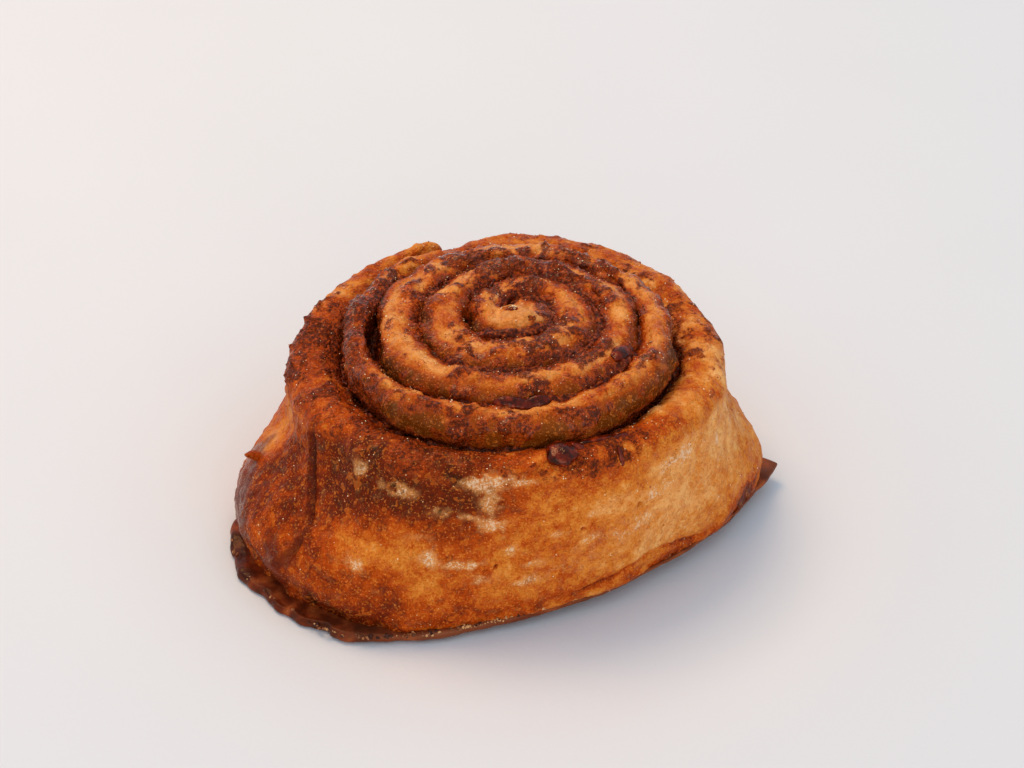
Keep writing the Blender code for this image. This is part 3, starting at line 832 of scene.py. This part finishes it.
coil_windings = even_windings(WALL_END, COIL_END, COIL_STEP)[:, None]
coil_radii, coil_heights, coil_across = strip_sections(coil_windings[:, 0], COIL_SHARES)
coil_points, coil_masks = dress_dough(coil_radii, coil_heights, coil_across, coil_windings)
coil_dough = dough_finish("coil_dough", *COIL_MOISTURE, COIL_PALENESS)
dough_coil = skin_mesh("dough_coil", coil_points, coil_masks, coil_dough)
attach(dough_coil, "root")
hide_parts("dough")

# The knob. The strip ends in a rounded knob of pale dough, turned up just right of the spiral's middle.
KNOB_CENTRE = (1.7, -1.1, 43.2)
KNOB_SIZES = (5.8, 5.3, 3.5)
KNOB_FOLD = (3.4, -2.2, 2.0, 1.3, 0.8)
KNOB_RINGS = 56
KNOB_SIDES = 80
KNOB_PALENESS = 0.45

knob_share = np.linspace(0.02, np.pi - 0.02, KNOB_RINGS)[:, None]
knob_round = np.linspace(0, 2 * np.pi, KNOB_SIDES, endpoint=False)[None, :]
knob_reach = np.sin(knob_share)
knob_ball = np.stack(
    [knob_reach * np.cos(knob_round), knob_reach * np.sin(knob_round), np.cos(knob_share) + 0 * knob_round],
    axis=-1,
)
knob_points = np.array(KNOB_CENTRE) + knob_ball * np.array(KNOB_SIZES)
fold_x, fold_y, fold_long, fold_wide, fold_rise = KNOB_FOLD
knob_fold = bell(knob_points[..., 0], fold_x, fold_long) * bell(knob_points[..., 1], fold_y, fold_wide)
knob_fold = knob_fold * ease(knob_ball[..., 2], 0.2, 0.6)
knob_relief = 0.5 * grain(knob_points, 3.0, 57, 3) + fold_rise * knob_fold - 0.4
knob_points = knob_points + knob_ball * knob_relief[..., None]
knob_depth = -knob_ball[..., 2]
knob_paste = 0.25 * grain(knob_points, 2.0, 59, 2) + 0.3 * ease(knob_depth, -0.75, -0.3)
# The fold is painted paler, a painted highlight, and the knob is painted darker towards its bottom.
knob_bake_and_highlight = 0.16 + 0.14 * grain(knob_points, 2.0, 65, 2) - 0.1 * knob_fold
knob_bake_and_highlight = knob_bake_and_highlight + 0.25 * ease(knob_depth, -0.8, -0.3)
knob_masks = {"bake": knob_bake_and_highlight, "paste": knob_paste, "flour": 0.0, "syrup": 0.05, "oil": 0.25}
knob_dough = dough_finish("knob_dough", *COIL_MOISTURE, KNOB_PALENESS)
strip_knob = skin_mesh("strip_knob", knob_points, knob_masks, knob_dough)
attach(strip_knob, "root")
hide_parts("dough")

# The flake. A thin hook of crust stands off the left of the wall, where it tore from the next roll. It is
# fused with the wall and baked dark and red.
FLAKE_ANGLE = 191.5
FLAKE_HEIGHT = 16.2
FLAKE_LENGTH = 5.4
FLAKE_ROOT_RADIUS = 1.7
FLAKE_FLATNESS = 0.55
FLAKE_ROOT_DEPTH = 2.2
FLAKE_RISE = np.radians(34.0)
FLAKE_SWAY = 1.4
FLAKE_RINGS = 26
FLAKE_SIDES = 22

flake_turn = np.radians(FLAKE_ANGLE)
flake_level = np.cos(FLAKE_RISE)
flake_out = np.array([np.cos(flake_turn) * flake_level, np.sin(flake_turn) * flake_level, np.sin(FLAKE_RISE)])
flake_across = np.array([-np.sin(flake_turn), np.cos(flake_turn), 0])
flake_up = np.cross(flake_out, flake_across)
flake_root_radius = face_radius(np.array(FLAKE_ANGLE), np.array(FLAKE_HEIGHT)) - FLAKE_ROOT_DEPTH
flake_root = about_heart(flake_root_radius, FLAKE_HEIGHT, FLAKE_ANGLE)
flake_share = np.linspace(0, 1, FLAKE_RINGS)[:, None, None]
flake_round = np.linspace(0, 2 * np.pi, FLAKE_SIDES, endpoint=False)[None, :, None]
flake_width = FLAKE_ROOT_RADIUS * np.sqrt(1 - flake_share**1.6) + 0.03
flake_ring = np.cos(flake_round) * flake_across - FLAKE_FLATNESS * np.sin(flake_round) * flake_up
flake_points = (
    flake_root
    + flake_share * FLAKE_LENGTH * flake_out
    + FLAKE_SWAY * flake_share**2 * flake_across
    + flake_width * flake_ring
)
flake_points = flake_points + 0.25 * flake_ring * grain(flake_points, 1.5, 61, 2)[..., None]
flake_masks = {"bake": 0.36 + 0.2 * flake_share[..., 0], "paste": 0.1, "flour": 0.0, "syrup": 0.5, "oil": 0.0}
crust_flake = skin_mesh("crust_flake", flake_points, flake_masks, dough_finish("flake_crust"))
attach(crust_flake, "root")
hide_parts("dough")

# The filling. Cinnamon paste lies in the seam between the turns of dough, and has boiled up to lumpy beads
# at its top. It is one closed ribbon, wound with the strip and pressed a little into the dough on both
# sides.
FILLING_START = 484.0
FILLING_END = 1905.0
FILLING_STEP = 0.4
FILLING_PRESS = 0.25
FILLING_SHARES = [0.0, 0.5, 0.8, 0.9, 0.94, 0.97, 1.0]
FILLING_TOP_POINTS = 11
FILLING_BULGE = 0.7
FILLING_SPOTS = (1.5, 75, 0.6, 0.9, 0.5)
PASTE_COLOURS = [(0.32, (54, 7, 0)), (0.5, (108, 32, 5)), (0.66, (178, 80, 26))]
# How far the filling's top lies below the crests, along the winding angle.
FILLING_RECESS = [
    (484, 3.2), (520, 3.6), (560, 3.0), (600, 2.4), (640, 2.2), (660, 2.8), (700, 3.4), (730, 3.0),
    (800, 2.4), (860, 3.0), (885, 4.5), (905, 8.0), (920, 4.5), (950, 2.4), (985, 1.7), (1010, 1.2),
    (1030, 1.5), (1050, 0.9), (1062, 2.2), (1110, 2.6), (1180, 2.4), (1260, 2.6), (1330, 2.2), (1440, 2.0),
    (1520, 2.6), (1590, 3.4), (1622, 5.0), (1655, 2.2), (1800, 1.8), (1905, 2.4),
]


def filling_sections(winding):
    """Radius and height round each section: up its outer side, over its top and down its inner one."""
    crest = np.minimum(crest_height(winding), crest_height(winding - TURN))
    top = crest - smooth_through(winding, FILLING_RECESS)
    sides = []
    for offset in (seam_gap(winding) + FILLING_PRESS, -FILLING_PRESS):
        foot = underside(face_radius(winding, DOUGH_UNDERSIDE) + offset, winding)
        levels = foot + (top - foot) * np.array(FILLING_SHARES)
        least = 0.02 + np.maximum(offset, 0)
        sides.append((np.maximum(face_radius(winding, levels) + offset, least), levels))
    (far, far_z), (near, near_z) = sides
    share = np.linspace(0, 1, FILLING_TOP_POINTS + 2)[1:-1]
    over = far[:, -1:] + (near[:, -1:] - far[:, -1:]) * share
    over_z = top + FILLING_BULGE * np.sin(np.pi * share)
    radii = np.concatenate([far, over, near[:, ::-1]], axis=1)
    return radii, np.concatenate([far_z, over_z, near_z[:, ::-1]], axis=1)


filling_windings = even_windings(FILLING_START, FILLING_END, FILLING_STEP)[:, None]
filling_radii, filling_heights = filling_sections(filling_windings)
filling_points = about_heart(filling_radii, filling_heights, filling_windings)
filling_top = filling_heights.max(axis=1, keepdims=True)
filling_near_top = ease(filling_heights, filling_top - 3.0, filling_top - 1.0)
filling_lumps = 0.55 * grain(filling_points, 2.6, 71, 3) + swellings(filling_points, [FILLING_SPOTS])
filling_points = filling_points + (0, 0, 1) * (filling_lumps * filling_near_top)[..., None]
paste_finish = Finish("cinnamon_paste", Specular_IOR_Level=0.4, Specular_Tint=(1.0, 0.72, 0.5, 1.0))
paste_fine = paste_finish.noise(0.8, 3.0)
paste_colour = paste_finish.ramp(paste_fine, PASTE_COLOURS)
paste_finish.coat(paste_colour, paste_fine.rise(0.2, 2.2) + 0.2, paste_finish.noise(0.5, 3.0), 0.6, 0.4)
cinnamon_paste = skin_mesh("cinnamon_paste", filling_points, {}, paste_finish.material)
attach(cinnamon_paste, "root")
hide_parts("cinnamon_filling")

# The caramel foot. Sugar and butter have run out under the roll and set to a thin, dark, ragged plate, with a
# corner standing out on the right. It is a grid of rings, out along its top, round its rim and back below.
FOOT_THICKNESS = 1.7
FOOT_TUCK = 5.5
FOOT_OVERHANGS = [
    (0, 0.8), (60, 0.6), (120, 0.6), (170, 0.8), (190, 1.6), (205, 2.8), (220, 2.2), (235, 2.8), (250, 1.4),
    (270, 0.8), (300, 0.4), (345, 0.4),
]
CORNER_ANGLE = 4.0
CORNER_REACH = 3.8
CORNER_SPREADS = (9.0, 4.5)
FOOT_DIRECTIONS = 900
FOOT_TOP_RINGS = 26
FOOT_RIM = 0.8
FOOT_RIM_RINGS = 7
# Where the caramel ran furthest, on the front left: direction and reach. There the plate is lumpy and ragged.
FOOT_RUN = (215, 40)
CARAMEL_COLOURS = [(0.34, (70, 22, 6)), (0.5, (122, 48, 16)), (0.66, (180, 94, 42))]
DRY_CARAMEL = (158, 92, 58)


def plate_radius(angle):
    """The plate's outline: past the dough's edge, out to the corner, and ragged where the caramel ran."""
    away = turned_from(angle, CORNER_ANGLE)
    corner = CORNER_REACH * np.maximum(0, 1 - np.abs(away) / np.where(away < 0, *CORNER_SPREADS))
    return edge_radius(angle) + smooth_through(angle, FOOT_OVERHANGS, TURN) + corner


foot_angles = np.linspace(0, TURN, FOOT_DIRECTIONS, endpoint=False)[:, None]
foot_edge = plate_radius(foot_angles)
foot_rough = grain(about_heart(foot_edge, 0 * foot_edge, foot_angles), 7.0, 81, 3)
foot_run = bell(foot_angles, *FOOT_RUN)
foot_edge = foot_edge + foot_rough * (0.3 + 0.8 * foot_run) - 0.2
foot_inside = np.array([0.02, LIFT_START_RADIUS]) + 0 * foot_edge
foot_tuck = edge_radius(foot_angles) - FOOT_TUCK
top_share = np.linspace(0, 1, FOOT_TOP_RINGS)
top_radii = foot_tuck + (foot_edge - FOOT_RIM - foot_tuck) * top_share
rim_turn = np.linspace(np.pi / 2, -np.pi / 2, FOOT_RIM_RINGS + 2)[1:-1]
rim_radii = foot_edge - FOOT_RIM + FOOT_RIM * np.cos(rim_turn)
rim_levels = 0.5 + 0.5 * np.sin(rim_turn) + 0 * rim_radii
foot_radii = np.concatenate(
    [foot_inside, top_radii, rim_radii, foot_edge - FOOT_RIM, foot_inside[:, ::-1]], axis=1
)
foot_shares = np.concatenate(
    [1 + 0 * foot_inside, 1 + 0 * top_radii, rim_levels, 0 * foot_edge, 0 * foot_inside], axis=1
)
corner_away = turned_from(foot_angles, CORNER_ANGLE)
foot_thinning = 0.25 * bell(corner_away, 0, 14) + 0.5 * bell(foot_angles, 312, 30)
foot_thinning = foot_thinning * ease(foot_radii, LIFT_START_RADIUS, foot_tuck)
foot_heights = foot_shares * FOOT_THICKNESS * (1 - foot_thinning)
foot_heights = foot_heights + lift(foot_radii, foot_angles)
foot_points = about_heart(foot_radii, foot_heights, foot_angles)
foot_lumps = 0.5 * grain(foot_points, 6.0, 85, 2) + 0.3
foot_lumps = foot_lumps * ease(foot_shares, 0.6, 1.0) * ease(foot_radii, foot_tuck, foot_tuck + 2)
foot_points = foot_points + (0, 0, 1) * (foot_lumps * (0.3 + foot_run))[..., None]
caramel_finish = Finish("caramel", Specular_IOR_Level=0.32, Specular_Tint=(1.0, 0.75, 0.55, 1.0))
caramel_fine = caramel_finish.noise(4.5, 3.0)
caramel_colour = caramel_finish.ramp(caramel_fine, CARAMEL_COLOURS)
caramel_colour = caramel_finish.mix(caramel_finish.mask("dry") * 0.8, caramel_colour, screen(*DRY_CARAMEL))
caramel_roughness = caramel_fine.rise(0.2, 1.6) + 0.26
caramel_finish.coat(caramel_colour, caramel_roughness, caramel_finish.noise(1.0, 4.0), 0.6, 0.3)
foot_dry = np.maximum(0.55 * bell(corner_away, 0, 7), 0.7 * bell(foot_angles, 310, 40))
foot_dry = np.maximum(foot_dry, 0.8 * bell(foot_angles, 256, 20))
foot_masks = {"dry": (foot_dry + 0 * foot_radii)[::-1]}
caramel_plate = skin_mesh("caramel_plate", foot_points[::-1], foot_masks, caramel_finish.material, False)
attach(caramel_plate, "root")
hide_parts("caramel_foot")

# The caramel drops. Syrup has pooled and set glossy on the rim and in the seams: soft lumps, each of which
# lies on the dough nearest to its place.
DROP_FINENESS = 4
# Each drop's radius, height and direction about the heart, and its half sizes along the strip, across and up.
CARAMEL_DROPS = [
    (37.3, 35.6, 284.0, 3.2, 3.0, 1.9), (36.0, 37.0, 289.0, 2.0, 1.4, 0.8),
    (35.0, 37.2, 298.0, 4.4, 1.2, 0.6), (36.2, 37.0, 303.0, 2.6, 0.8, 0.5),
    (38.6, 34.6, 301.0, 0.6, 2.0, 0.5), (26.6, 42.4, 270.0, 3.8, 1.3, 1.7),
    (26.5, 42.4, 280.0, 3.2, 1.4, 1.8), (24.0, 42.6, 329.0, 2.8, 1.6, 0.8),
    (11.8, 44.0, 112.0, 1.6, 0.8, 0.6),
]
DROP_UNEVENNESS = 0.12
DROP_SINK = 0.1
DROP_COLOURS = [(0.35, (58, 10, 0)), (0.55, (112, 28, 4)), (0.75, (170, 66, 18))]


def lumps(name, centres, frames, sizes, roughness, fineness, finish, seed):
    """One mesh of many lumps: a ball made uneven, scaled along each lump's axes and moved to its place."""
    mesh = bpy.data.meshes.new(name)
    ball = bmesh.new()
    bmesh.ops.create_icosphere(ball, subdivisions=fineness, radius=1.0)
    ball.to_mesh(mesh)
    ball.free()
    base = np.empty((len(mesh.vertices), 3), np.float32)
    mesh.vertices.foreach_get("co", base.ravel())
    base_faces = np.empty((len(mesh.polygons), 3), np.int32)
    mesh.loops.foreach_get("vertex_index", base_faces.ravel())
    mesh.clear_geometry()
    count = len(centres)
    shift = np.arange(count)[:, None, None] * 7.7
    uneven = 1 + roughness * grain(base[None].astype(float) * 1.3 + shift, 1.0, seed, 2)[..., None]
    points = centres[:, None, :] + (base[None] * uneven * sizes[:, None, :]) @ frames
    faces = base_faces[None] + (np.arange(count) * len(base))[:, None, None]
    placed = (points.reshape(-1, 3) + (HEART_X, HEART_Y, 0)) * MM
    mesh.from_pydata(placed.tolist(), [], faces.reshape(-1, 3).tolist())
    mesh.materials.append(finish)
    piece = bpy.data.objects.new(name, mesh)
    bpy.context.scene.collection.objects.link(piece)
    return piece


skin_points = np.concatenate([wall_points.reshape(-1, 3), coil_points.reshape(-1, 3)])
skin_normals = np.concatenate([outward_normals(p).reshape(-1, 3) for p in (wall_points, coil_points)])
drop_places = np.array(CARAMEL_DROPS)
drop_targets = about_heart(drop_places[:, 0], drop_places[:, 1], drop_places[:, 2])
drop_on = np.array([np.argmin(np.linalg.norm(skin_points - target, axis=1)) for target in drop_targets])
drop_up = skin_normals[drop_on]
drop_turn = np.radians(drop_places[:, 2])
drop_along = np.stack([-np.sin(drop_turn), np.cos(drop_turn), 0 * drop_turn], axis=-1)
drop_out = np.cross(drop_along, drop_up)
drop_out = drop_out / np.linalg.norm(drop_out, axis=1, keepdims=True)
drop_along = np.cross(drop_up, drop_out)
drop_frames = np.stack([drop_along, drop_out, drop_up], axis=1)
drop_finish = Finish("set_caramel", Specular_IOR_Level=0.45, Specular_Tint=(1.0, 0.8, 0.65, 1.0))
drop_fine = drop_finish.noise(1.5, 2.0)
drop_colour = drop_finish.ramp(drop_fine, DROP_COLOURS)
drop_finish.coat(drop_colour, drop_fine.rise(0.2, 3.0) + 0.06, drop_finish.noise(0.9, 3.0), 0.5, 0.4)
caramel_drops = lumps(
    "caramel_drops", skin_points[drop_on] - DROP_SINK * drop_up, drop_frames, drop_places[:, 3:],
    DROP_UNEVENNESS, DROP_FINENESS, drop_finish.material, 91,
)
caramel_drops.data.shade_smooth()
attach(caramel_drops, "root")

# The sugar grains. Crystals of sugar and grit of cinnamon cling all over the top and down the front of the
# wall. They are stuck on at random, thickest on the crests.
GRAIN_COUNT = 2200
GRAIN_SIZES = (0.07, 0.19)
GRAIN_LIFT = 0.05
SUGAR_COLOURS = [(0.3, (170, 92, 40)), (0.5, (220, 144, 76)), (0.7, (255, 224, 180))]

random = np.random.default_rng(17)
skin_across = np.concatenate([wall_across.ravel(), coil_across.ravel()])
skin_paste = np.concatenate([wall_masks["paste"].ravel(), coil_masks["paste"].ravel()])
wall_below = crest_height(wall_windings) - wall_heights
coil_below = crest_height(coil_windings) - coil_heights
skin_below = np.concatenate([wall_below.ravel(), coil_below.ravel()])
on_crest = (skin_across > 0) & (skin_across < 1)
on_front = (np.arange(len(skin_points)) < wall_across.size) & (skin_across == 0)
likely = np.where(on_crest, 1.0 + 0.6 * skin_paste, np.where(on_front, 0.55 * np.exp(-skin_below / 26), 0))
grain_on = random.choice(len(skin_points), GRAIN_COUNT, replace=False, p=likely / likely.sum())
grain_frames = np.linalg.qr(random.normal(size=(GRAIN_COUNT, 3, 3)))[0]
grain_sizes = random.uniform(*GRAIN_SIZES, (GRAIN_COUNT, 1)) * random.uniform(0.7, 1.2, (GRAIN_COUNT, 3))
sugar_finish = Finish("sugar", Coat_Weight=0.4, Coat_Roughness=0.05)
sugar_tone = sugar_finish.spots(1.3, "Color")
sugar_colour = sugar_finish.ramp(sugar_tone, SUGAR_COLOURS)
sugar_finish.coat(sugar_colour, sugar_tone.rise(0.0, 5.0) + 0.12, sugar_tone, 0.1, 0.05)
grain_places = skin_points[grain_on] + GRAIN_LIFT * skin_normals[grain_on]
sugar_look = sugar_finish.material
sugar_grains = lumps("sugar_grains", grain_places, grain_frames, grain_sizes, 0.3, 1, sugar_look, 95)
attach(sugar_grains, "root")

# The crumbs. Pale bits of dough and dark bits of caramel have caught along the foot of the wall, on the
# plate's edge, most of them on the front and left.
CRUMB_COUNT = 240
CRUMB_SIZES = (0.12, 0.5)
CRUMB_SPREAD = (192, 345)
CRUMB_HEAP = (262, 17)
CRUMB_COLOURS = [(0.3, (84, 40, 20)), (0.5, (168, 104, 60)), (0.65, (220, 168, 112))]

crumb_angles = np.concatenate([
    random.uniform(*CRUMB_SPREAD, CRUMB_COUNT // 2), random.normal(*CRUMB_HEAP, CRUMB_COUNT // 2)
])
crumb_radii = plate_radius(crumb_angles) - random.uniform(0.2, 1.0, CRUMB_COUNT)
crumb_heights = lift(crumb_radii, crumb_angles) + FOOT_THICKNESS + random.uniform(-0.3, 0.4, CRUMB_COUNT)
crumb_frames = np.linalg.qr(random.normal(size=(CRUMB_COUNT, 3, 3)))[0]
crumb_sizes = random.uniform(*CRUMB_SIZES, (CRUMB_COUNT, 1)) ** 1.3
crumb_sizes = crumb_sizes * random.uniform(0.7, 1.2, (CRUMB_COUNT, 3))
crumb_finish = Finish("crumb", Roughness=0.6)
crumb_tone = crumb_finish.spots(2.0, "Color")
crumb_colour = crumb_finish.ramp(crumb_tone, CRUMB_COLOURS)
crumb_finish.coat(crumb_colour, crumb_tone.rise(-2.0, 2.0), crumb_finish.noise(0.4, 2.0), 0.5, 0.2)
crumb_places = about_heart(crumb_radii, crumb_heights, crumb_angles)
crumbs = lumps("crumbs", crumb_places, crumb_frames, crumb_sizes, 0.4, 2, crumb_finish.material, 99)
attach(crumbs, "root")
